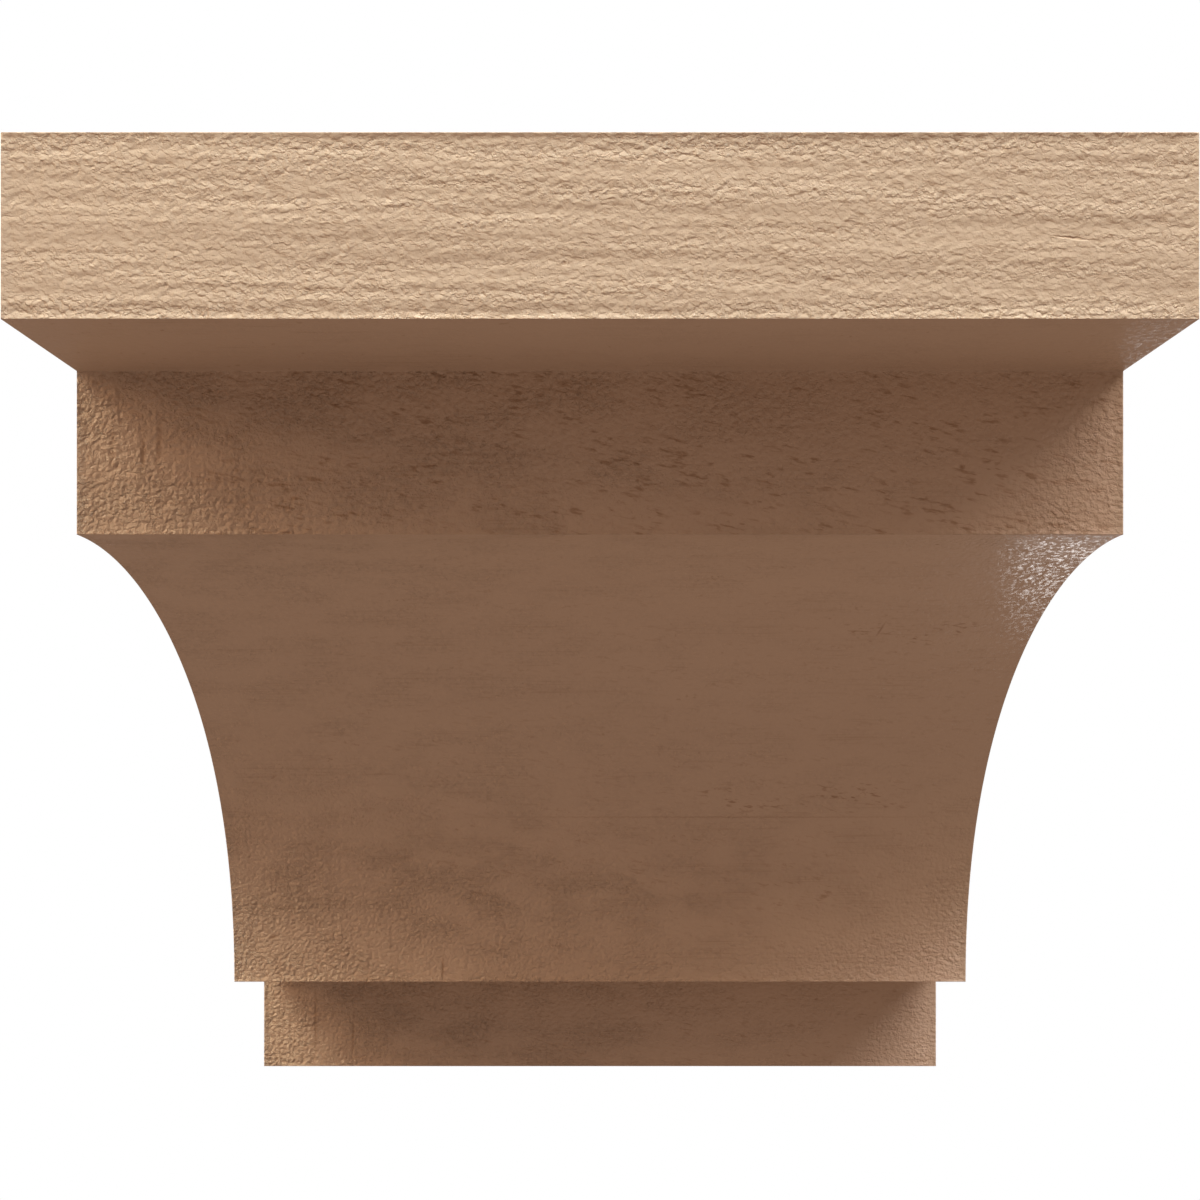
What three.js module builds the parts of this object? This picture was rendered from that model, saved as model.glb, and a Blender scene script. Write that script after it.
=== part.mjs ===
// A wall corbel moulded in one piece to look like rough-sawn timber. One side profile runs
// straight across the width: a thick slab on top, a block set back under it, a deep cove
// sweeping down and back towards the wall, and a small foot set back under the cove.
//
// Millimetres, +Z up. The origin is the centre of the flat back, which sits against the wall.
// The corbel stands out from the wall towards -Y, and its width runs along X.

import * as THREE from 'three';

// Driving dimensions
const WIDTH = 304.8;

const SLAB_HEIGHT = 47.625;
const BLOCK_HEIGHT = 47.625;
const COVE_HEIGHT = 161.925;
const FOOT_HEIGHT = 47.625;

const FOOT_PROJECTION = 47.625;
const FOOT_SETBACK = 47.625;
const COVE_DEPTH = 161.925;
const SLAB_OVERHANG = 47.625;

// The cove is flatter at its top and tighter lower down than a plain quarter circle. Its two
// pulls are shares of its own depth and height, along the tangents at its two ends.
const COVE_TOP_PULL = 0.45;
const COVE_BOTTOM_PULL = 0.605;
const COVE_FACETS = 64;

// How far each front stands out from the wall
const coveBottomProjection = FOOT_PROJECTION + FOOT_SETBACK;
const blockProjection = coveBottomProjection + COVE_DEPTH;
const slabProjection = blockProjection + SLAB_OVERHANG;

// Levels above the underside of the foot
const footTop = FOOT_HEIGHT;
const coveTop = footTop + COVE_HEIGHT;
const blockTop = coveTop + BLOCK_HEIGHT;
const slabTop = blockTop + SLAB_HEIGHT;

// The side profile, with x out from the wall and y up from the underside of the foot
function sideProfile() {
  const profile = new THREE.Shape();
  profile.moveTo(0, 0);
  profile.lineTo(FOOT_PROJECTION, 0);
  profile.lineTo(FOOT_PROJECTION, footTop);
  profile.lineTo(coveBottomProjection, footTop);
  profile.bezierCurveTo(
    coveBottomProjection, footTop + COVE_BOTTOM_PULL * COVE_HEIGHT,
    blockProjection - COVE_TOP_PULL * COVE_DEPTH, coveTop,
    blockProjection, coveTop,
  );
  profile.lineTo(blockProjection, blockTop);
  profile.lineTo(slabProjection, blockTop);
  profile.lineTo(slabProjection, slabTop);
  profile.lineTo(0, slabTop);
  profile.closePath();
  return profile;
}

// Primed rigid moulding in one even tan, with a low sheen
function tanPrimer() {
  const material = new THREE.MeshStandardMaterial({ color: 0xc6a98c, roughness: 0.5, metalness: 0 });
  material.name = 'tan_primer';
  return material;
}

// The profile is drawn in the XY plane and run along Z. Turned, x points out from the wall
// to -Y, y points up, and the run goes from the +X end to the -X end.
function makeCorbel() {
  const geometry = new THREE.ExtrudeGeometry(sideProfile(), {
    depth: WIDTH,
    steps: 1,
    bevelEnabled: false,
    curveSegments: COVE_FACETS,
  });
  const corbel = new THREE.Mesh(geometry, tanPrimer());
  corbel.name = 'corbel';
  corbel.rotation.set(Math.PI / 2, 0, -Math.PI / 2, 'ZYX');
  corbel.position.set(WIDTH / 2, 0, -slabTop / 2);
  return corbel;
}

const model = new THREE.Group();
model.add(makeCorbel());

export default model;
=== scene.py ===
"""A moulded corbel with a rough-sawn timber face, primed in one even tan.

The dressed piece is one closed mesh that follows the frame's side profile, with the saw
texture as real relief on it and its finest grain as bump in the primer. Metres, +Z up,
the wall at Y = 0, the corbel standing out towards -Y.
"""
import itertools
import math
from dataclasses import dataclass

import bpy
import numpy as np
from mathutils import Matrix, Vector, geometry


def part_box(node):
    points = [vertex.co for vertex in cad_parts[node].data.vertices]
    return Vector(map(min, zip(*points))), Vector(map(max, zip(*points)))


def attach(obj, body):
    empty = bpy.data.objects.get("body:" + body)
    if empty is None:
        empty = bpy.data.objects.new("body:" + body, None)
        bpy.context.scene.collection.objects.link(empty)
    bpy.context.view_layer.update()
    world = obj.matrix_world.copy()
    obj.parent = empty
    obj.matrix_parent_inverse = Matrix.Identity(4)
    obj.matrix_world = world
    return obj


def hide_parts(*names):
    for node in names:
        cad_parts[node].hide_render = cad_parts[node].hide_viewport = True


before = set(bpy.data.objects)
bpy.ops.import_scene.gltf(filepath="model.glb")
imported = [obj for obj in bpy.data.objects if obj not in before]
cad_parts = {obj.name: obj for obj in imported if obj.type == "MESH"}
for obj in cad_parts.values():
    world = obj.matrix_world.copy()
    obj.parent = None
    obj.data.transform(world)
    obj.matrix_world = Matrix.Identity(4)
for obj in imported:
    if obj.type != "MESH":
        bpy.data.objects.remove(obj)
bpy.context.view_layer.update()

MM = 0.001

# Members of the side profile
SLAB_HEIGHT = 47.625 * MM
BLOCK_HEIGHT = 47.625 * MM
FOOT_HEIGHT = 47.625 * MM
FOOT_PROJECTION = 47.625 * MM
FOOT_SETBACK = 47.625 * MM
SLAB_OVERHANG = 47.625 * MM
COVE_TOP_PULL = 0.45
COVE_BOTTOM_PULL = 0.605

low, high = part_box("corbel")
WIDTH = high.x - low.x
SLAB_PROJECTION = -low.y
BOTTOM = low.z
TOP = high.z

# Eased corners, between faces and round the two ends. The ends' radius is the smaller one, so
# that no two points meet where three faces do.
EASE = 0.15 * MM
EASE_STEPS = 3
END_EASE = 0.12 * MM
END_STEPS = 2

# Beside each corner: a flat strip, and how far in from the corner the relief reaches its depth
HOLD = 0.25 * MM
FADE = 1.6 * MM

# Spacing of the mesh on the two ends, points along the cove's curve, slopes in the noise table
END_GAP = 3.0 * MM
COVE_SAMPLES = 2000
NOISE_TABLE = 4096

# Points closer than this are one to the ends' triangulation, and no edge is taken to be
# shorter than the root of the second value
SAME_POINT = 1e-9
LEAST_SQUARE = 1e-18

# Relief of a sawn face: how long and how high its marks are, how far the wave moves the bands
# up and down, the share of a lump that a calm spot takes off, and a pit's depth in lumps
WAVE = (40 * MM, 12 * MM)
BANDS = (150 * MM, 3.2 * MM)
SWELLS = (80 * MM, 10 * MM)
CALM_SPOTS = (16 * MM, 5 * MM)
KERFS = (1.6 * MM, 60 * MM)
WAVE_SWAY = 1.2 * MM
CALMING = 0.85
PIT_DEPTH = 2

# In millimetres: the depth of its kerfs, and how far its middle level is sunk, which leaves room
# under the plain face for the texture
KERF_RELIEF = 0.022
SUNK = 0.2

# The same for a hidden face
PLAIN_BANDS = (60 * MM, 9 * MM)
PLAIN_LUMPS = (9 * MM, 5 * MM)
PLAIN_BAND_DEPTH = 0.05
PLAIN_LUMP_DEPTH = 0.04
PLAIN_SUNK = 0.1

# Seeds of the relief: from one face to the next, and for the two ends
FACE_SEEDS = 100
END_SEEDS = 1000

# Primer film: how thin it is all over, and the glossy patch at the cove's upper right, with the
# side that it starts at, how that side leans with depth, its blur, where it fades as the cove
# comes in towards the wall, where it starts on the soffit above, and its share there
THIN_FILM = 0.03
GLOSS_START = 120 * MM
GLOSS_SLANT = 0.32
GLOSS_BLUR = 8 * MM
GLOSS_FADE = (158 * MM, 205 * MM)
GLOSS_SOFFIT = (132 * MM, 148 * MM)
SOFFIT_SHARE = 0.5

# Dark dashes, dents darkened with painted shade, run down a little to the right, and few are left at
# the left end, where the painted shade in the hollows thins out too
DASH_TILT = math.radians(-12)
DASH_SHADE_START = (-135 * MM, -90 * MM)
DASH_SHADE_LEFT = 0.2

# Upright kerf steps show most near the left end, with this share of them past it
KERF_FADE = (-112 * MM, -72 * MM)
KERF_SHARE = 0.3

# The lower members get smoother and a little more level towards the right end
SMOOTH_START = (-110 * MM, 110 * MM)
SMOOTH_LEVEL = 0.1

# Scattered pinholes: how far apart, their radius, the share of it that is at full strength,
# that strength, and the share of the holes left out
PINHOLE_GAP = 16 * MM
PINHOLE = 0.8 * MM
PINHOLE_CORE = 0.2
PINHOLE_STRENGTH = 0.8
PINHOLE_SPARED = 0.45

# Primer, its palest and its darkest tone, and the painted shade's darker tone down in the pores
PRIMER_DARK = (0.510, 0.361, 0.245, 1)
PRIMER_PALE = (0.540, 0.387, 0.263, 1)
PAINTED_SHADE = (0.345, 0.213, 0.124, 1)

# How much of the painted shade's tone shows in hollows, hairlines and bitten spots
HOLLOW_SHADE = 0.15
HAIRLINE_SHADE = 0.3
BITTEN_SHADE = 0.45

# Primer's roughness, down in its pores and on its high spots, its specular level, and the
# roughness of its film
PORE_ROUGHNESS = 0.55
PRIMER_ROUGHNESS = 0.45
PRIMER_SPECULAR = 0.02
FILM_ROUGHNESS = 0.04

# Torn fibre: cells a millimetre along X, Y and Z where it is cobbled and where it is level, how
# far its hills lean, how far they pull the cobbles about, and the cobbles' scale. Its height is
# a share of the fibres and a base, less a share of the cobbles.
ROUND_CELLS = (0.7, 0.6, 0.75, 1)
LEVEL_CELLS = (0.3, 0.28, 1.3, 1)
FIBRE_LEAN = 0.25
FIBRE_PULL = 1.2
COBBLE_SCALE = 0.8
FIBRE_SHARE = 0.75
TORN_BASE = 0.3
COBBLE_SHARE = 0.33

# Rough and calm patches: cells a millimetre where they are short and where they run in bands,
# and how rough the calm ones and the rough ones are
SHORT_PATCHES = (0.045, 0.08, 0.09, 1)
BANDED_PATCHES = (0.017, 0.2, 0.2, 1)
CALM_TO_ROUGH = (0.6, 1.3)

# Sizes along X, Y and Z of the marks in the primer
KERF_STEPS = (5.5 * MM, 70 * MM, 70 * MM)
DASHES = (4.2 * MM, 1.2 * MM, 1.1 * MM)
CLUSTERS = (13 * MM, 4.5 * MM, 4.5 * MM)
HAIRLINES = (110 * MM, 1.7 * MM, 1.6 * MM)
CLOUDS = (90 * MM, 30 * MM, 30 * MM)
BEADS = (1.5 * MM, 1.8 * MM, 1.0 * MM)

# Bump: its unit, and how deep each kind of mark is in that unit
BUMP_UNIT = 1.0 * MM
FIBRE_HALF_DEPTH = 0.25
KERF_DEPTH = 0.03
KERF_DEPTH_BANDED = 0.015
DASH_DEPTH = 0.08
MARK_DEPTH = 0.22

# Deeper marks in the texture, dents with painted shade in them, in millimetres: x, how far out
# from the wall, height, length, thickness, then tilt in degrees from level and strength from 0 to 1
MARKS = [
    # Slab
    (120, 305, 125.5, 9, 0.8, -6, 0.8),
    # Block
    (105.5, 257, 77, 1.7, 1.7, 0, 1.0),
    (-142, 257, 82, 14, 1.8, 90, 0.5),
    (-133, 257, 81, 12, 1.8, 90, 0.7),
    (-128.5, 257, 84, 17, 2.0, 87, 0.5),
    # Cove
    (48, 110, -35, 190, 0.8, 0, 0.4),
    (98.5, 180, 35.5, 7, 0.9, 70, 0.7),
    (-65.5, 95.5, -99, 11, 1.1, 88, 0.9),
    (-136, 96.5, -86, 4.6, 1.6, 18, 0.9),
    # Foot
    (-129, 47.5, -132, 32, 1.4, 90, 0.55),
    (-112, 47.5, -139, 24, 1.2, 88, 0.55),
]

# How far a mark reaches into the face, how far and how finely its edge wanders, and where that
# edge starts and ends, as shares of the mark's half size
MARK_REACH = 6 * MM
MARK_RAGGED = 0.9 * MM
RAGGED_SCALE = 0.7 / MM
MARK_EDGE = (0.3, 1.2)

# Patches of the cove where the fibre has torn out, with stronger dashes and painted shade: x, up, half
# length, half height, strength
TORN_PATCHES = [
    (108, 35.5, 25, 5, 0.8),
    (84, -27, 56, 6, 0.7),
    (-20, -62, 70, 14, 0.12),
    (80, -66, 20, 9, 0.5),
]

# Where a patch starts and where it is in full, as shares of its half size
PATCH_EDGE = (1.3, 0.5)


# Noise

def lattice_noise(points, seed):
    """Smooth noise, about -1 to 1, at each row of points."""
    rng = np.random.default_rng(seed)
    dims = points.shape[1]
    table = rng.permutation(NOISE_TABLE)
    slopes = rng.normal(size=(NOISE_TABLE, dims))
    slopes /= np.linalg.norm(slopes, axis=1, keepdims=True)
    cell = np.floor(points).astype(int)
    inside = points - cell
    ease = inside ** 3 * (inside * (inside * 6 - 15) + 10)
    total = np.zeros(len(points))
    for corner in itertools.product((0, 1), repeat=dims):
        index = np.zeros(len(points), int)
        for axis in range(dims):
            index = table[(index + cell[:, axis] + corner[axis]) % NOISE_TABLE]
        weight = np.prod(np.where(corner, ease, 1 - ease), axis=1)
        total += weight * np.sum(slopes[index] * (inside - corner), axis=1)
    return total * math.sqrt(dims)


def grain_noise(along, across, length, height, seed):
    """Noise drawn out along the grain, with marks about length by height."""
    return lattice_noise(np.stack([along / length, across / height], axis=1), seed)


def smooth_step(value, start, end):
    t = np.clip((value - start) / (end - start), 0, 1)
    return t * t * (3 - 2 * t)


# Relief: a height over the plain face, in metres, that is never more than zero

def sawn_relief(along, across, saw, tooth, seed):
    """Rough-sawn face: level bands, torn lumps that grow with the tooth, calm spots and pits."""
    wave = grain_noise(along, across, *WAVE, seed)
    level = across + WAVE_SWAY * wave
    bands = grain_noise(along, level, *BANDS, seed + 3)
    swell = grain_noise(along, level, *SWELLS, seed + 4)
    lumps = grain_noise(along, level, saw.length, saw.height, seed + 1)
    calm = smooth_step(grain_noise(along, across, *CALM_SPOTS, seed + 5), 0.35, 0.6)
    pits = smooth_step(grain_noise(along, level, saw.length, saw.height, seed + 6), 0.62, 0.95)
    kerf = grain_noise(along, across, *KERFS, seed + 7)
    torn = saw.lumps * tooth * (lumps * (1 - CALMING * calm) - PIT_DEPTH * pits)
    return np.minimum(torn + saw.bands * (bands + swell) + KERF_RELIEF * kerf - SUNK, 0) * MM


def plain_relief(along, across, seed):
    """Hidden face: level bands and low lumps, much shallower."""
    bands = grain_noise(along, across, *PLAIN_BANDS, seed + 3)
    lumps = grain_noise(along, across, *PLAIN_LUMPS, seed + 1)
    return (PLAIN_BAND_DEPTH * bands + PLAIN_LUMP_DEPTH * lumps - PLAIN_SUNK) * MM


# Side profile: a closed walk of faces, seen as (out from the wall, up)

@dataclass
class Saw:
    """The texture of one face. A tuple runs in even steps from the face's start to its end."""
    length: float = 5.0 * MM        # torn lumps
    height: float = 4.5 * MM
    lumps: float = 0.03             # depth of the torn lumps, in millimetres
    bands: float = 0.004            # depth of the level bands, in millimetres
    tooth: tuple = (1.0,)           # strength of the fine texture
    right: float = 1.0              # share of it that is left at the right end
    level: tuple = (0.0,)           # 0 for round lumps, 1 for level ridges
    banded: float = 0.0             # 1 where rough and calm patches run in long level bands
    # The dashes' strength also sets the painted shade in them and in the hollows
    dash_and_shade_strength: float = 0.0             # strength of the dark dashes


PLAIN = Saw()
END_SAW = Saw(6 * MM, 6 * MM, dash_and_shade_strength=0.4)


@dataclass
class Face:
    name: str
    path: np.ndarray
    row_gap: float
    column_gap: float
    saw: Saw


def straight(start, end):
    return np.array([start, end], float)


def cove(bottom, top):
    """The cove as one cubic curve, upright at its bottom and level at its top."""
    depth = top[0] - bottom[0]
    height = top[1] - bottom[1]
    pulls = [
        (bottom[0], bottom[1] + COVE_BOTTOM_PULL * height),
        (top[0] - COVE_TOP_PULL * depth, top[1]),
    ]
    t = np.linspace(0, 1, COVE_SAMPLES)[:, None]
    corner = [np.array(p, float) for p in (bottom, *pulls, top)]
    return ((1 - t) ** 3 * corner[0] + 3 * (1 - t) ** 2 * t * corner[1]
            + 3 * (1 - t) * t ** 2 * corner[2] + t ** 3 * corner[3])


def section_faces():
    """Every face of the profile, from the underside of the foot round to the back."""
    foot_top = BOTTOM + FOOT_HEIGHT
    slab_bottom = TOP - SLAB_HEIGHT
    cove_top = slab_bottom - BLOCK_HEIGHT
    block_out = SLAB_PROJECTION - SLAB_OVERHANG
    cove_out = FOOT_PROJECTION + FOOT_SETBACK
    slab = Saw(2.8 * MM, 2.0 * MM, lumps=0.12, bands=0.12, level=(0.12,), banded=1.0, dash_and_shade_strength=0.5,
               tooth=(1.5, 1.25, 1.0, 0.95, 0.85, 0.85, 0.95, 1.35, 1.1, 1.0, 1.45, 1.6))
    soffit = Saw(3.4 * MM, 1.8 * MM, lumps=0.04, tooth=(0.8,), dash_and_shade_strength=0.1)
    block = Saw(tooth=(3.4,), right=0.45, dash_and_shade_strength=0.85)
    foot = Saw(tooth=(4.3,), right=0.33, dash_and_shade_strength=0.5)
    deep = Saw(tooth=(3.7, 4.8, 3.1, 2.0, 1.7, 1.6, 1.7, 2.2, 2.7), right=0.5, dash_and_shade_strength=0.25)
    return [
        Face("underside", straight((0, BOTTOM), (FOOT_PROJECTION, BOTTOM)), 3 * MM, 4 * MM, PLAIN),
        Face("foot", straight((FOOT_PROJECTION, BOTTOM), (FOOT_PROJECTION, foot_top)),
             1.2 * MM, 1.8 * MM, foot),
        Face("foot_soffit", straight((FOOT_PROJECTION, foot_top), (cove_out, foot_top)),
             3 * MM, 3 * MM, soffit),
        Face("cove", cove((cove_out, foot_top), (block_out, cove_top)), 1.7 * MM, 2.1 * MM, deep),
        Face("block", straight((block_out, cove_top), (block_out, slab_bottom)),
             0.9 * MM, 1.3 * MM, block),
        Face("slab_soffit", straight((block_out, slab_bottom), (SLAB_PROJECTION, slab_bottom)),
             1.6 * MM, 2.1 * MM, soffit),
        Face("slab", straight((SLAB_PROJECTION, slab_bottom), (SLAB_PROJECTION, TOP)),
             0.65 * MM, 1.1 * MM, slab),
        Face("top", straight((SLAB_PROJECTION, TOP), (0, TOP)), 4 * MM, 4 * MM, PLAIN),
        Face("back", straight((0, TOP), (0, BOTTOM)), 6 * MM, 6 * MM, PLAIN),
    ]


def face_rows(face):
    """Points, outward normals and distances along one face, short of its two corners."""
    steps = np.linalg.norm(np.diff(face.path, axis=0), axis=1)
    reach = np.concatenate([[0], np.cumsum(steps)])
    first, last = EASE, reach[-1] - EASE
    count = max(2, round((last - first) / face.row_gap))
    between = np.linspace(first, last, count + 1)[1:-1]
    stops = np.concatenate([[first, first + HOLD], between, [last - HOLD, last]])
    points = np.stack([np.interp(stops, reach, face.path[:, k]) for k in (0, 1)], axis=1)
    ahead = np.stack([np.interp(stops + EASE / 2, reach, face.path[:, k]) for k in (0, 1)], axis=1)
    behind = np.stack([np.interp(stops - EASE / 2, reach, face.path[:, k]) for k in (0, 1)], axis=1)
    heading = ahead - behind
    heading /= np.linalg.norm(heading, axis=1, keepdims=True)
    normals = np.stack([heading[:, 1], -heading[:, 0]], axis=1)
    return points, normals, stops, np.minimum(stops, reach[-1] - stops)


def corner_rows(before, after):
    """The eased corner between the last row of one face and the first row of the next."""
    (point_a, normal_a), (point_b, normal_b) = before, after
    heading_a = np.array([-normal_a[1], normal_a[0]])
    turn = point_b - point_a
    corner = point_a + heading_a * np.dot(turn, heading_a)
    centre = point_a + point_b - corner
    rows = []
    for step in range(1, EASE_STEPS):
        angle = step / EASE_STEPS * math.pi / 2
        point = centre + (point_a - centre) * math.cos(angle) + (point_b - centre) * math.sin(angle)
        normal = normal_a * math.cos(angle) + normal_b * math.sin(angle)
        rows.append((point, normal / np.linalg.norm(normal)))
    return rows


@dataclass
class Row:
    point: np.ndarray
    normal: np.ndarray
    face: int
    along_face: float
    to_corner: float
    columns: int


def section_rows(faces):
    """The whole profile as rows, each with its own number of columns across the width."""
    runs = [face_rows(face) for face in faces]
    rows = []
    for index, (face, run) in enumerate(zip(faces, runs)):
        points, normals, stops, to_corner = run
        columns = round(WIDTH / face.column_gap)
        for point, normal, stop, gap in zip(points, normals, stops, to_corner):
            rows.append(Row(point, normal, index, stop, gap, columns))
        follower = (index + 1) % len(faces)
        next_columns = round(WIDTH / faces[follower].column_gap)
        start = (runs[follower][0][0], runs[follower][1][0])
        for point, normal in corner_rows((points[-1], normals[-1]), start):
            rows.append(Row(point, normal, index, stops[-1], 0.0, max(columns, next_columns)))
    return rows


# Mesh

def row_places(columns):
    """X, turn towards the end and place of each vertex of a row: flat run, then the eased ends."""
    run = WIDTH / 2 - END_EASE
    flat = np.linspace(-run, run, columns + 1)
    flat = np.concatenate([[-run, HOLD - run], flat[1:-1], [run - HOLD, run]])
    turns = [step / END_STEPS * math.pi / 2 for step in range(1, END_STEPS + 1)]
    right_x = [run + END_EASE * math.sin(turn) for turn in turns]
    x = np.concatenate([[-value for value in reversed(right_x)], flat, right_x])
    turn = np.concatenate([[-value for value in reversed(turns)], np.zeros(len(flat)), turns])
    return x, turn


def zip_rows(lower, upper):
    """Faces between two rows of vertex numbers that run side by side."""
    if len(lower) == len(upper):
        return [(lower[i], lower[i + 1], upper[i + 1], upper[i]) for i in range(len(lower) - 1)]
    faces = []
    i = j = 0
    last_i, last_j = len(lower) - 1, len(upper) - 1
    while i < last_i or j < last_j:
        if j == last_j or (i < last_i and (i + 1) / last_i <= (j + 1) / last_j):
            faces.append((lower[i], lower[i + 1], upper[j]))
            i += 1
        else:
            faces.append((lower[i], upper[j + 1], upper[j]))
            j += 1
    return faces


def inside_outline(points, outline):
    """Which points lie inside a closed outline, and how far each is from it."""
    start = outline
    end = np.roll(outline, -1, axis=0)
    within = np.zeros(len(points), bool)
    distance = np.full(len(points), np.inf)
    for a, b in zip(start, end):
        spans = (a[1] > points[:, 1]) != (b[1] > points[:, 1])
        rise = b[1] - a[1] if b[1] != a[1] else 1.0
        crossing = a[0] + (points[:, 1] - a[1]) / rise * (b[0] - a[0])
        within ^= spans & (points[:, 0] < crossing)
        edge = b - a
        share = np.clip((points - a) @ edge / max(edge @ edge, LEAST_SQUARE), 0, 1)
        near = np.linalg.norm(points - a - share[:, None] * edge, axis=1)
        distance = np.minimum(distance, near)
    return within, distance


def end_mesh(outline):
    """Points and triangles that fill the profile, with its outline as their border."""
    columns = np.arange(outline[:, 0].min(), outline[:, 0].max(), END_GAP)
    levels = np.arange(outline[:, 1].min(), outline[:, 1].max(), END_GAP)
    grid = np.array([(x + END_GAP / 2 * (k % 2), y) for k, y in enumerate(levels) for x in columns])
    within, distance = inside_outline(grid, outline)
    keep = within & (distance > END_GAP / 2)
    points = np.concatenate([outline, grid[keep]])
    count = len(outline)
    ring = [(i, (i + 1) % count) for i in range(count)]
    inside_only = 1
    vectors = [Vector(p) for p in points]
    result = geometry.delaunay_2d_cdt(vectors, ring, [], inside_only, SAME_POINT)
    sources = [source[0] for source in result[3]]
    triangles = [[sources[i] for i in face] for face in result[2]]
    return points, np.concatenate([np.zeros(count), distance[keep]]), triangles


def torn_patches(x, up):
    """How much stronger the dashes, and the painted shade in them and in the hollows, are in the
    cove's torn patches.
    """
    extra = np.zeros(len(x))
    for middle, height, half_length, half_height, strength in TORN_PATCHES:
        reach = np.hypot((x / MM - middle) / half_length, (up / MM - height) / half_height)
        extra = np.maximum(extra, strength * smooth_step(reach, *PATCH_EDGE))
    return extra


def glossy_film(names, x, out):
    """How thick the film is, 0 to 1: most at the cove's upper right and on the soffit above."""
    block_out = SLAB_PROJECTION - SLAB_OVERHANG
    edge = GLOSS_START + GLOSS_SLANT * (block_out - out)
    on_cove = smooth_step(x - edge, -GLOSS_BLUR, GLOSS_BLUR) * smooth_step(out, *GLOSS_FADE)
    on_soffit = SOFFIT_SHARE * smooth_step(x, *GLOSS_SOFFIT)
    thick = np.where(names == "cove", on_cove, np.where(names == "slab_soffit", on_soffit, 0))
    return THIN_FILM + (1 - THIN_FILM) * thick


def build_corbel():
    """One closed mesh: the swept faces row by row, then a filled end on each side."""
    faces = section_faces()
    rows = section_rows(faces)
    base, normal, face_id, along, across, to_edge = [], [], [], [], [], []
    numbers = []
    total = 0
    for row in rows:
        x, turn = row_places(row.columns)
        inset = END_EASE * (1 - np.cos(turn))
        out = row.point[0] - row.normal[0] * inset
        up = row.point[1] - row.normal[1] * inset
        base.append(np.stack([x, -out, up], axis=1))
        tilt = np.cos(turn)
        normal.append(np.stack([np.sin(turn), -row.normal[0] * tilt, row.normal[1] * tilt], axis=1))
        face_id.append(np.full(len(x), row.face))
        along.append(x)
        across.append(np.full(len(x), row.along_face))
        to_edge.append(np.minimum(row.to_corner, np.maximum(WIDTH / 2 - END_EASE - abs(x), 0)))
        numbers.append(np.arange(total, total + len(x)))
        total += len(x)
    base, normal = np.concatenate(base), np.concatenate(normal)
    face_id = np.concatenate(face_id)
    along, across, to_edge = np.concatenate(along), np.concatenate(across), np.concatenate(to_edge)
    depth, tooth, level, banded, dash_and_shade_strength = np.zeros((5, total))
    for index, face in enumerate(faces):
        here = face_id == index
        share = across[here] / across[here].max()
        saw = face.saw
        tooth[here] = np.interp(share, np.linspace(0, 1, len(saw.tooth)), saw.tooth)
        smoother = (1 - saw.right) * smooth_step(along[here], *SMOOTH_START)
        tooth[here] *= 1 - smoother
        level[here] = np.interp(share, np.linspace(0, 1, len(saw.level)), saw.level)
        level[here] += SMOOTH_LEVEL * smoother
        banded[here] = saw.banded
        past_left = smooth_step(along[here], *DASH_SHADE_START)
        dash_and_shade_strength[here] = saw.dash_and_shade_strength * (DASH_SHADE_LEFT + (1 - DASH_SHADE_LEFT) * past_left)
        seed = FACE_SEEDS * (index + 1)
        if saw is PLAIN:
            depth[here] = plain_relief(along[here], across[here], seed)
        else:
            depth[here] = sawn_relief(along[here], across[here], saw, tooth[here], seed)
    depth *= smooth_step(to_edge, 0, FADE)
    names = np.array([face.name for face in faces])[face_id]
    film = glossy_film(names, base[:, 0], -base[:, 1])
    dash_and_shade_strength += np.where(names == "cove", torn_patches(base[:, 0], base[:, 2]), 0)

    polygons = []
    for lower, upper in zip(numbers, numbers[1:] + numbers[:1]):
        polygons += zip_rows(lower.tolist(), upper.tolist())
    ring_right = np.array([row[-1] for row in numbers])
    ring_left = np.array([row[0] for row in numbers])
    outline = np.stack([-base[ring_right, 1], base[ring_right, 2]], axis=1)
    points, gap, triangles = end_mesh(outline)
    inner = points[len(outline):]
    for side, ring in ((1, ring_right), (-1, ring_left)):
        first = total
        plane = np.full(len(inner), side * WIDTH / 2)
        base = np.concatenate([base, np.stack([plane, -inner[:, 0], inner[:, 1]], axis=1)])
        normal = np.concatenate([normal, np.tile([side, 0.0, 0.0], (len(inner), 1))])
        relief = sawn_relief(inner[:, 1], inner[:, 0], END_SAW, 1.0, END_SEEDS + side)
        depth = np.concatenate([depth, relief * smooth_step(gap[len(outline):], 0, FADE)])
        tooth = np.concatenate([tooth, np.ones(len(inner))])
        level = np.concatenate([level, np.zeros(len(inner))])
        banded = np.concatenate([banded, np.zeros(len(inner))])
        dash_and_shade_strength = np.concatenate([dash_and_shade_strength, np.full(len(inner), END_SAW.dash_and_shade_strength)])
        film = np.concatenate([film, np.full(len(inner), THIN_FILM)])
        total += len(inner)
        lookup = np.concatenate([ring, np.arange(first, total)])
        for a, b, c in triangles:
            order = (a, c, b) if side > 0 else (a, b, c)
            polygons.append(tuple(int(lookup[i]) for i in order))

    places = base + normal * depth[:, None]
    mesh = bpy.data.meshes.new("corbel_sawn")
    mesh.from_pydata(places.tolist(), [], polygons)
    mesh.polygons.foreach_set("use_smooth", [True] * len(mesh.polygons))
    looks = {"tooth": tooth, "level": level, "banded": banded, "dash_and_shade_strength": dash_and_shade_strength, "film": film}
    for name, values in looks.items():
        mesh.attributes.new(name, "FLOAT", "POINT").data.foreach_set("value", values.tolist())
    mesh.update()
    corbel = bpy.data.objects.new("corbel_sawn", mesh)
    bpy.context.scene.collection.objects.link(corbel)
    return corbel


# Materials

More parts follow.
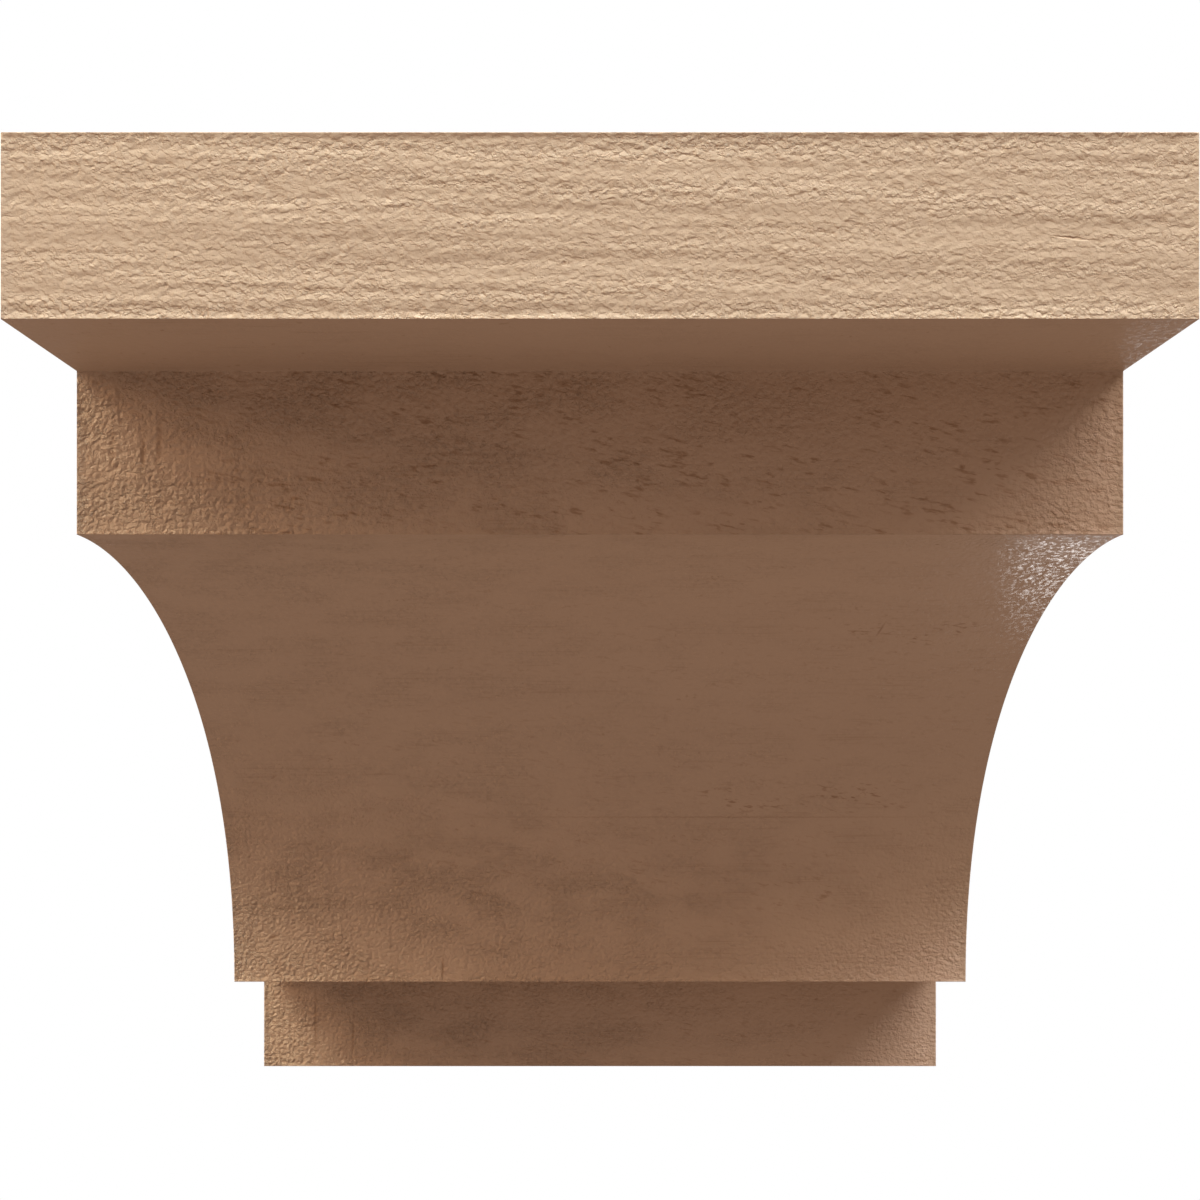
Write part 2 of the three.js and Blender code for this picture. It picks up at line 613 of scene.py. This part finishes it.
class Nodes:
    """A short way to add and link shader nodes."""

    def __init__(self, tree):
        self.tree = tree

    def add(self, kind, inputs=None, **settings):
        node = self.tree.nodes.new("ShaderNode" + kind)
        for key, value in settings.items():
            setattr(node, key, value)
        for key, value in (inputs or {}).items():
            if isinstance(value, bpy.types.NodeSocket):
                self.tree.links.new(value, node.inputs[key])
            else:
                node.inputs[key].default_value = value
        return node

    def math(self, operation, a, b=0.0):
        return self.add("Math", {0: a, 1: b}, operation=operation).outputs[0]


def deeper_marks(make, place):
    """Scattered pinholes, then every listed mark as an ellipse with a ragged edge, 0 to 1: dents in
    the bump and painted shade in the colour.
    """
    ragged = make.add("TexNoise", {"Vector": place, "Scale": RAGGED_SCALE, "Detail": 1.0})
    moved = make.add("VectorMath", {
        0: ragged.outputs["Fac"], 1: (MARK_RAGGED, MARK_RAGGED, MARK_RAGGED), 2: place,
    }, operation="MULTIPLY_ADD").outputs[0]
    centre = MARK_RAGGED / 2
    holes = make.add("TexVoronoi", {"Vector": moved, "Scale": 1 / PINHOLE_GAP, "Randomness": 1.0})
    near = make.add("MapRange", {
        "Value": holes.outputs["Distance"],
        "From Min": PINHOLE_CORE * PINHOLE / PINHOLE_GAP, "From Max": PINHOLE / PINHOLE_GAP,
        "To Min": PINHOLE_STRENGTH, "To Max": 0.0,
    }).outputs["Result"]
    chosen = make.math("GREATER_THAN", holes.outputs["Color"], PINHOLE_SPARED)
    total = make.math("MULTIPLY", near, chosen)
    for x, out, up, length, thickness, tilt, strength in MARKS:
        local = make.add("Mapping", {
            "Vector": moved,
            "Location": (x * MM + centre, centre - out * MM, up * MM + centre),
            "Rotation": (0, -math.radians(tilt), 0),
            "Scale": (length / 2 * MM, MARK_REACH, thickness / 2 * MM),
        }, vector_type="TEXTURE").outputs["Vector"]
        reach = make.add("VectorMath", {0: local}, operation="LENGTH").outputs["Value"]
        mark = make.add("MapRange", {
            "Value": reach, "From Min": MARK_EDGE[0], "From Max": MARK_EDGE[1],
            "To Min": strength, "To Max": 0.0,
        }).outputs["Result"]
        total = make.math("MAXIMUM", total, mark)
    return total


def tan_primer():
    """Even tan primer over a moulded saw texture: cobbled torn fibre and kerf steps as bump, with
    painted shade darkening its hollows and marks.
    """
    material = bpy.data.materials.new("tan_primer")
    material.use_nodes = True
    tree = material.node_tree
    tree.nodes.clear()
    make = Nodes(tree)
    place = make.add("TexCoord").outputs["Object"]

    def marks(width, depth, height, offset, tilt=0.0):
        """Object coordinates scaled so that one unit is width, depth and height along X, Y and Z."""
        flat = place
        if tilt:
            flat = make.add("Mapping", {"Vector": place, "Rotation": (0, tilt, 0)}).outputs["Vector"]
        return make.add("Mapping", {
            "Vector": flat,
            "Location": (offset, offset, offset),
            "Scale": (1 / width, 1 / depth, 1 / height),
        }).outputs["Vector"]

    def noise(vector, detail=2.0, distortion=0.0, roughness=0.5):
        return make.add("TexNoise", {
            "Vector": vector, "Scale": 1.0, "Detail": detail, "Roughness": roughness,
            "Distortion": distortion,
        }).outputs["Fac"]

    def leaning(vector, lean, detail, roughness):
        """Noise whose hills lean down, so that they are steep below and gentle above."""
        shift = make.math("MULTIPLY", make.math("SUBTRACT", noise(vector, 1.0), 0.5), lean)
        offset = make.add("CombineXYZ", {"Z": shift}).outputs[0]
        moved = make.add("VectorMath", {0: vector, 1: offset}, operation="ADD").outputs[0]
        return noise(moved, detail, 0.0, roughness)

    def spread(value, start, end, low=0.0, high=1.0):
        """The range from start to end carried over to low to high, and held beyond it."""
        return make.add("MapRange", {
            "Value": value, "From Min": start, "From Max": end, "To Min": low, "To Max": high,
        }).outputs["Result"]

    tooth = make.add("Attribute", attribute_name="tooth").outputs["Fac"]
    level = make.add("Attribute", attribute_name="level").outputs["Fac"]
    banded = make.add("Attribute", attribute_name="banded").outputs["Fac"]
    dash_and_shade_strength = make.add("Attribute", attribute_name="dash_and_shade_strength").outputs["Fac"]
    film = make.add("Attribute", attribute_name="film").outputs["Fac"]
    cells = make.add("MixRGB", {
        "Fac": level, "Color1": ROUND_CELLS, "Color2": LEVEL_CELLS,
    }).outputs["Color"]
    scaled = make.add("VectorMath", {0: place, 1: cells}, operation="MULTIPLY").outputs[0]
    scaled = make.add("VectorMath", {0: scaled, "Scale": 1 / MM}, operation="SCALE").outputs[0]
    fibres = leaning(scaled, FIBRE_LEAN, detail=3.0, roughness=0.62)
    ragged = make.add("VectorMath", {
        0: fibres, 1: (FIBRE_PULL, FIBRE_PULL, FIBRE_PULL), 2: scaled,
    }, operation="MULTIPLY_ADD").outputs[0]
    cobbles = make.add("TexVoronoi", {"Vector": ragged, "Scale": COBBLE_SCALE, "Randomness": 1.0})
    cobbles = cobbles.outputs["Distance"]
    torn = make.math("ADD", make.math("MULTIPLY", fibres, FIBRE_SHARE), TORN_BASE)
    torn = make.math("SUBTRACT", torn, make.math("MULTIPLY", cobbles, COBBLE_SHARE))
    kerf = spread(noise(marks(*KERF_STEPS, offset=2.2), detail=2.0), 0.47, 0.53)
    patches = make.add("MixRGB", {
        "Fac": banded, "Color1": SHORT_PATCHES, "Color2": BANDED_PATCHES,
    }).outputs["Color"]
    patches = make.add("VectorMath", {0: place, 1: patches}, operation="MULTIPLY").outputs[0]
    patches = make.add("VectorMath", {0: patches, "Scale": 1 / MM}, operation="SCALE").outputs[0]
    patchy = noise(patches, detail=1.0)
    rough = spread(patchy, 0.38, 0.62, *CALM_TO_ROUGH)

    # Dark dashes: dents in the bump, and painted shade in the colour
    dashes = noise(marks(*DASHES, offset=6.6, tilt=DASH_TILT), detail=2.0)
    cluster = noise(marks(*CLUSTERS, offset=7.5), detail=1.0)
    flaky = make.math("MULTIPLY", spread(cluster, 0.42, 0.62, 0.15, 1.0), dash_and_shade_strength)
    dash_dent_and_shade = make.math("MULTIPLY", spread(dashes, 0.32, 0.45, 1.0, 0.0), flaky)

    # Hairlines and bitten spots: painted shade only, with no dent in the bump
    lines = noise(marks(*HAIRLINES, offset=5.2), detail=2.0, distortion=0.2)
    near_line = make.math("ABSOLUTE", make.math("SUBTRACT", lines, 0.5))
    hairline_shade = make.math("MULTIPLY", spread(near_line, 0.0, 0.02, 1.0, 0.0), spread(patchy, 0.45, 0.6))
    bitten_shade = make.math("MULTIPLY", spread(torn, 0.32, 0.42, 1.0, 0.0), spread(cluster, 0.6, 0.7))

    height = spread(torn, 0.0, 1.0, -FIBRE_HALF_DEPTH, FIBRE_HALF_DEPTH)
    height = make.math("MULTIPLY", height, make.math("MULTIPLY", rough, tooth))
    sideways = make.add("SeparateXYZ", {0: place}).outputs["X"]
    cut = make.math("MULTIPLY", tooth, spread(banded, 0.0, 1.0, KERF_DEPTH, KERF_DEPTH_BANDED))
    cut = make.math("MULTIPLY", cut, spread(sideways, *KERF_FADE, 1.0, KERF_SHARE))
    height = make.math("ADD", height, make.math("MULTIPLY", kerf, cut))
    height = make.math("SUBTRACT", height, make.math("MULTIPLY", dash_dent_and_shade, DASH_DEPTH))
    # Pinholes and marks: dents in the bump, and painted shade in the colour
    scar_and_shade = deeper_marks(make, place)
    height = make.math("SUBTRACT", height, make.math("MULTIPLY", scar_and_shade, MARK_DEPTH))
    bump = make.add("Bump", {"Height": height, "Strength": 1.0, "Distance": BUMP_UNIT})

    tone = noise(marks(*CLOUDS, offset=1.3), detail=3.0)
    colour = make.add("MixRGB", {"Fac": tone, "Color1": PRIMER_DARK, "Color2": PRIMER_PALE})
    colour = colour.outputs["Color"]
    # Painted shade: the primer darkens in the torn fibre's hollows, in the dashes and marks, along
    # hairlines and in bitten spots, where shade would fall
    hollow_shade = make.math("MULTIPLY", spread(torn, 0.3, 0.46, 1.0, 0.0), dash_and_shade_strength)
    shade_mask = make.math("MAXIMUM", dash_dent_and_shade, scar_and_shade)
    shade_mask = make.math("MAXIMUM", make.math("MULTIPLY", hollow_shade, HOLLOW_SHADE), shade_mask)
    shade_mask = make.math("MAXIMUM", shade_mask, make.math("MULTIPLY", hairline_shade, HAIRLINE_SHADE))
    shade_mask = make.math("MAXIMUM", shade_mask, make.math("MULTIPLY", bitten_shade, BITTEN_SHADE))
    shaded = make.add("MixRGB", {"Fac": shade_mask, "Color1": colour, "Color2": PAINTED_SHADE})
    beads = noise(marks(*BEADS, offset=8.8), detail=2.0, distortion=0.3, roughness=0.6)
    beaded = make.math("MULTIPLY", film, spread(beads, 0.49, 0.57, 0.05, 1.0))
    gloss = spread(torn, 0.35, 0.65, PORE_ROUGHNESS, PRIMER_ROUGHNESS)
    shader = make.add("BsdfPrincipled", {
        "Base Color": shaded.outputs["Color"], "Roughness": gloss, "Normal": bump.outputs["Normal"],
        "Specular IOR Level": PRIMER_SPECULAR, "Coat Weight": beaded, "Coat Roughness": FILM_ROUGHNESS,
        "Coat Normal": bump.outputs["Normal"],
    })
    make.add("OutputMaterial", {"Surface": shader.outputs["BSDF"]})
    return material


def white_card():
    """Pure white stage."""
    material = bpy.data.materials.new("white_card")
    material.use_nodes = True
    tree = material.node_tree
    tree.nodes.clear()
    make = Nodes(tree)
    glow = make.add("Emission", {"Color": (1, 1, 1, 1), "Strength": 1.0})
    make.add("OutputMaterial", {"Surface": glow.outputs[0]})
    return material


# Stage, lights and camera

FLOOR_DROP = 0.6
FLOOR_SIZE = 12.0

# Ambient light from above and from below. These two colours, and the watts and colours of every
# softbox but the last, came out of least-squares fits to the photograph's broad shading.
AMBIENT_ABOVE = (0.353, 0.270, 0.244, 1)
AMBIENT_BELOW = (0.490, 0.386, 0.342, 1)

# Softboxes, all at one distance from the corbel's middle: azimuth and elevation in degrees,
# side in metres, watts and colour
AIM = Vector((0, -SLAB_PROJECTION / 2, 0))
LIGHT_REACH = 1.3
SOFTBOXES = {
    "left": (-80, 50, 0.6, 20.3, (0.832, 1.000, 0.946)),
    "left_low": (-80, 35, 1.0, 25.1, (1.000, 0.703, 0.492)),
    "right": (60, 55, 1.0, 13.8, (1.000, 0.865, 0.737)),
    "right_back": (100, 55, 1.0, 74.1, (0.762, 0.821, 1.0)),
    "front_top": (0, 70, 0.6, 21.7, (0.557, 0.861, 1.000)),
    "back_fill": (180, 8, 1.0, 8.0, (0.95, 1.0, 0.97)),
}

# Gleam: a strip with its left end, width, length, place in depth and height, tilt and watts
GLEAM_LEFT = 0.35
GLEAM_WIDTH = 0.15
GLEAM_LENGTH = 0.66
GLEAM_BACK = 0.30
GLEAM_LEVEL = -0.45
GLEAM_TILT = math.radians(-131)
GLEAM_WATTS = 0.9
GLEAM_COLOUR = (1.0, 0.98, 0.96)

# Scrims: how far they stand off the top and the ends, the light that each lets through, and
# how many of the cove's points their outline skips
SCRIM_GAP = 1.5 * MM
TOP_SCRIM = (0.200, 0.188, 0.170)
RIGHT_SCRIM = (0.40, 0.40, 0.35)
LEFT_SCRIM = (0.43, 0.485, 0.57)
SCRIM_STEP = 40

# Photograph's frame, in pixels: its side, the focal length, the row that the eye is level with
# and the slab's width in it. Then how far the eye is below the top, as a share of the width.
FRAME_PIXELS = 1200
FOCAL_PIXELS = 1290
EYE_ROW = 728.9
SLAB_WIDTH_PIXELS = 1198.8
EYE_BELOW_TOP = 0.498
SENSOR_MM = 36

# Nearest that the camera sees, in metres
CLIP_START = 0.01


def make_floor():
    mesh = bpy.data.meshes.new("floor")
    half = FLOOR_SIZE / 2
    level = BOTTOM - FLOOR_DROP
    corners = [(-half, -half, level), (half, -half, level), (half, half, level), (-half, half, level)]
    mesh.from_pydata(corners, [], [(0, 1, 2, 3)])
    floor = bpy.data.objects.new("floor", mesh)
    mesh.materials.append(white_card())
    floor.visible_diffuse = False
    floor.visible_glossy = False
    bpy.context.scene.collection.objects.link(floor)


def make_world():
    """White to look at, and a soft warm ambient light that is stronger from below."""
    world = bpy.data.worlds.new("studio")
    bpy.context.scene.world = world
    world.use_nodes = True
    tree = world.node_tree
    tree.nodes.clear()
    make = Nodes(tree)
    heading = make.add("TexCoord").outputs["Generated"]
    level = make.add("SeparateXYZ", {0: heading}).outputs["Z"]
    below = make.add("Math", {0: level, 1: -1.0}, operation="MULTIPLY", use_clamp=True).outputs[0]
    ambient = make.add("MixRGB", {"Fac": below, "Color1": AMBIENT_ABOVE, "Color2": AMBIENT_BELOW})
    soft = make.add("Background", {"Color": ambient.outputs["Color"], "Strength": 1.0}).outputs[0]
    white = make.add("Background", {"Color": (1, 1, 1, 1), "Strength": 1.0}).outputs[0]
    seen = make.add("LightPath").outputs["Is Camera Ray"]
    both = make.add("MixShader", {0: seen, 1: soft, 2: white}).outputs[0]
    make.add("OutputWorld", {"Surface": both})


def make_softbox(name, azimuth, elevation, size, watts, colour):
    """A square soft light. Azimuth 0 stands in front of the corbel, 90 to its right."""
    light = bpy.data.lights.new(name, "AREA")
    light.shape = "SQUARE"
    light.size = size
    light.energy = watts
    light.color = colour
    lamp = bpy.data.objects.new(name, light)
    turn, tilt = math.radians(azimuth), math.radians(elevation)
    reach = math.cos(tilt)
    heading = Vector((math.sin(turn) * reach, -math.cos(turn) * reach, math.sin(tilt)))
    lamp.location = AIM + heading * LIGHT_REACH
    lamp.rotation_euler = (-heading).to_track_quat("-Z", "Y").to_euler()
    bpy.context.scene.collection.objects.link(lamp)


def make_gleam():
    """A low strip behind the right end that shows only as a reflection in the primer's film."""
    light = bpy.data.lights.new("gleam", "AREA")
    light.shape = "RECTANGLE"
    light.size = GLEAM_WIDTH
    light.size_y = GLEAM_LENGTH
    light.energy = GLEAM_WATTS
    light.color = GLEAM_COLOUR
    lamp = bpy.data.objects.new("gleam", light)
    lamp.location = (GLEAM_LEFT + GLEAM_WIDTH / 2, GLEAM_BACK, GLEAM_LEVEL)
    lamp.rotation_euler = (GLEAM_TILT, 0, 0)
    lamp.visible_diffuse = False
    bpy.context.scene.collection.objects.link(lamp)


def make_lights():
    for name, setting in SOFTBOXES.items():
        make_softbox(name, *setting)
    make_gleam()


def make_scrim(name, corners, passes):
    """A sheet that dims the light on one face and is never seen itself."""
    material = bpy.data.materials.new(name)
    material.use_nodes = True
    tree = material.node_tree
    tree.nodes.clear()
    make = Nodes(tree)
    sheet = make.add("BsdfTransparent", {"Color": (*passes, 1)})
    make.add("OutputMaterial", {"Surface": sheet.outputs[0]})
    mesh = bpy.data.meshes.new(name)
    mesh.from_pydata(corners, [], [tuple(range(len(corners)))])
    mesh.materials.append(material)
    scrim = bpy.data.objects.new(name, mesh)
    scrim.visible_camera = False
    scrim.visible_glossy = False
    bpy.context.scene.collection.objects.link(scrim)


def make_scrims():
    """The photograph's high side lights would burn out the top and both ends without these."""
    half = WIDTH / 2
    over = TOP + SCRIM_GAP
    front = -SLAB_PROJECTION
    top = [(-half, front, over), (half, front, over), (half, 0, over), (-half, 0, over)]
    make_scrim("top_scrim", top, TOP_SCRIM)
    outline = np.concatenate([face.path[:-1:SCRIM_STEP] for face in section_faces()])
    for name, side, passes in (("right_scrim", 1, RIGHT_SCRIM), ("left_scrim", -1, LEFT_SCRIM)):
        corners = [(side * (half + SCRIM_GAP), -out, up) for out, up in outline]
        make_scrim(name, corners, passes)


def make_camera():
    camera = bpy.data.cameras.new("camera")
    camera.sensor_width = SENSOR_MM
    camera.lens = SENSOR_MM * FOCAL_PIXELS / FRAME_PIXELS
    camera.shift_y = (EYE_ROW - FRAME_PIXELS / 2) / FRAME_PIXELS
    camera.clip_start = CLIP_START
    viewer = bpy.data.objects.new("camera", camera)
    distance = FOCAL_PIXELS / SLAB_WIDTH_PIXELS * WIDTH
    viewer.location = (0, -SLAB_PROJECTION - distance, TOP - EYE_BELOW_TOP * WIDTH)
    viewer.rotation_euler = (math.pi / 2, 0, 0)
    bpy.context.scene.collection.objects.link(viewer)
    bpy.context.scene.camera = viewer


make_camera()
make_floor()
make_world()
make_lights()
make_scrims()
bpy.context.scene.view_settings.view_transform = "Standard"

corbel = build_corbel()
corbel.data.materials.append(tan_primer())
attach(corbel, "root")
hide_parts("corbel")
